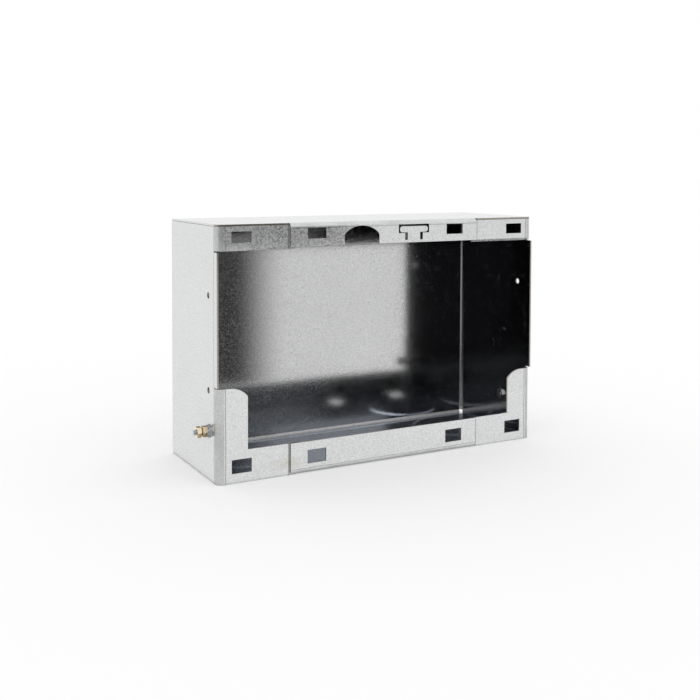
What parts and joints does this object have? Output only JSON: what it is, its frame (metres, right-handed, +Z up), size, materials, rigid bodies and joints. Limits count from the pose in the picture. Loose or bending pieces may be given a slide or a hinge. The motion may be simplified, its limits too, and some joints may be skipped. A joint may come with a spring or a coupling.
{
  "type": "flush back box",
  "caption": "Folded galvanised steel back box, open at the front, with inward slotted flanges, bottom knockouts and an earth terminal through each side wall.",
  "frame": {"origin": "centre of the bottom wall's outer face", "axes": "+Z up, +X along the width, the open front faces -Y"},
  "size_m": [0.2744, 0.094, 0.173],
  "materials": {
    "galvanised_sheet": "galvanised sheet, fine spangle, semi-bright",
    "zinc_plated": "bright zinc plate",
    "brass": "turned brass"
  },
  "bodies": {
    "root": {"back_box": "galvanised_sheet", "left_earth_screw": "zinc_plated", "right_earth_screw": "zinc_plated", "plain_washers": "zinc_plated", "lock_washers": "zinc_plated", "brass_nuts": "brass", "steel_nuts": "zinc_plated"}
  },
  "joints": []
}
